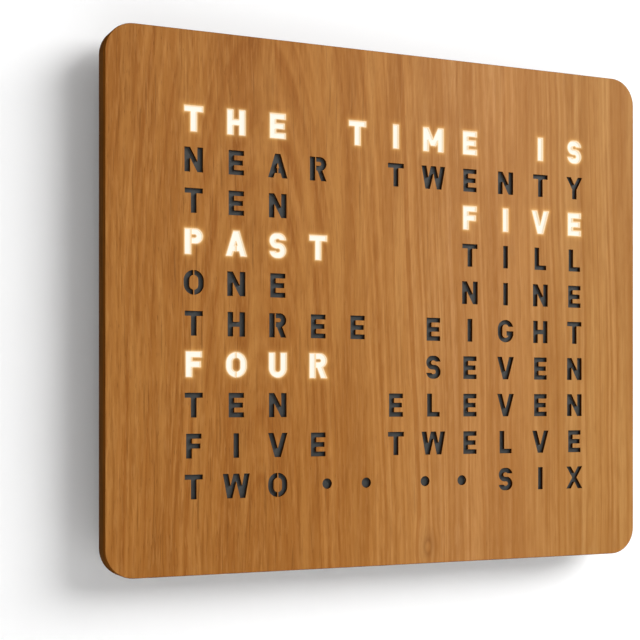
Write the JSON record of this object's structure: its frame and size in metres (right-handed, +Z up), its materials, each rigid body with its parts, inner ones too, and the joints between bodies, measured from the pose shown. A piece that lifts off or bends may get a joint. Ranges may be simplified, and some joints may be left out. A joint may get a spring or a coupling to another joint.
{
  "type": "word clock",
  "caption": "Wall-hung word clock: wide oak-veneered panel with round corners and rows of cut-through lit letters, over a dark case and a smaller back box with push buttons.",
  "frame": {"origin": "on the wall, at the rear cover's outer face, behind the middle of the front panel", "axes": "+Z up, the front looks towards -Y, +X to the right seen from the front; +Y into the wall"},
  "size_m": [0.46, 0.04, 0.4],
  "materials": {
    "oak_veneer": "satin oiled",
    "dark_stained_wood": "matt stained",
    "smoked_acrylic": "satin",
    "black_grid_plastic": "matt printed",
    "white_strip": "satin",
    "light_chip": "gloss",
    "dark_board": "matt",
    "zinc_steel": "zinc plated",
    "green_circuit_board": "solder mask",
    "shield_can": "satin",
    "black_sleeve": "gloss",
    "green_terminal_plastic": "moulded",
    "white_plastic": "moulded",
    "blue_circuit_board": "solder mask",
    "black_plastic": "moulded",
    "bright_steel": "bright",
    "brass": "turned",
    "red_cap": "moulded",
    "black_cap": "moulded",
    "white_cap": "moulded",
    "spring_steel": "drawn wire",
    "wire_cover": "insulated"
  },
  "bodies": {
    "root": {"front_panel": "oak_veneer", "case_frame": "dark_stained_wood", "diffuser_sheet": "smoked_acrylic", "light_grid": "black_grid_plastic", "back_panel": "dark_board", "light_strips": "white_strip", "light_chips": "light_chip", "strip_links": "white_strip", "back_box": "dark_stained_wood", "rear_cover": "dark_board", "hanger_plates": "zinc_steel", "hanger_screws": "zinc_steel", "case_screws": "zinc_steel", "box_screws": "zinc_steel", "cover_screws": "zinc_steel", "control_board": "green_circuit_board", "processor_module": "shield_can", "buffer_capacitor": "black_sleeve", "terminal_block": "green_terminal_plastic", "terminal_screws": "zinc_steel", "wire_header": "white_plastic", "clock_module": "blue_circuit_board", "clock_chip": "black_plastic", "cell_holder": "black_plastic", "coin_cell": "bright_steel", "board_standoffs": "brass", "board_screws": "zinc_steel", "power_inlet": "black_plastic", "inlet_pin": "brass", "inlet_nut": "zinc_steel", "button_bodies": "black_plastic", "button_nuts": "zinc_steel", "hour_spring": "spring_steel", "minute_spring": "spring_steel", "brightness_spring": "spring_steel", "power_lead": "wire_cover", "light_lead": "wire_cover", "button_lead": "wire_cover", "clock_lead": "wire_cover"},
    "hour_cap": {"hour_button": "red_cap"},
    "minute_cap": {"minute_button": "black_cap"},
    "brightness_cap": {"brightness_button": "white_cap"}
  },
  "joints": [
    {"name": "hour_press", "type": "slide", "parent": "root", "child": "hour_cap", "axis": [0, 0, 1], "range_m": [0, 0.002], "stiffness_N_per_m": 250, "springref_m": -0.004, "deforming": ["hour_spring"]},
    {"name": "minute_press", "type": "slide", "parent": "root", "child": "minute_cap", "axis": [0, 0, 1], "range_m": [0, 0.002], "stiffness_N_per_m": 250, "springref_m": -0.004, "deforming": ["minute_spring"]},
    {"name": "brightness_press", "type": "slide", "parent": "root", "child": "brightness_cap", "axis": [0, 0, 1], "range_m": [0, 0.002], "stiffness_N_per_m": 250, "springref_m": -0.004, "deforming": ["brightness_spring"]}
  ]
}
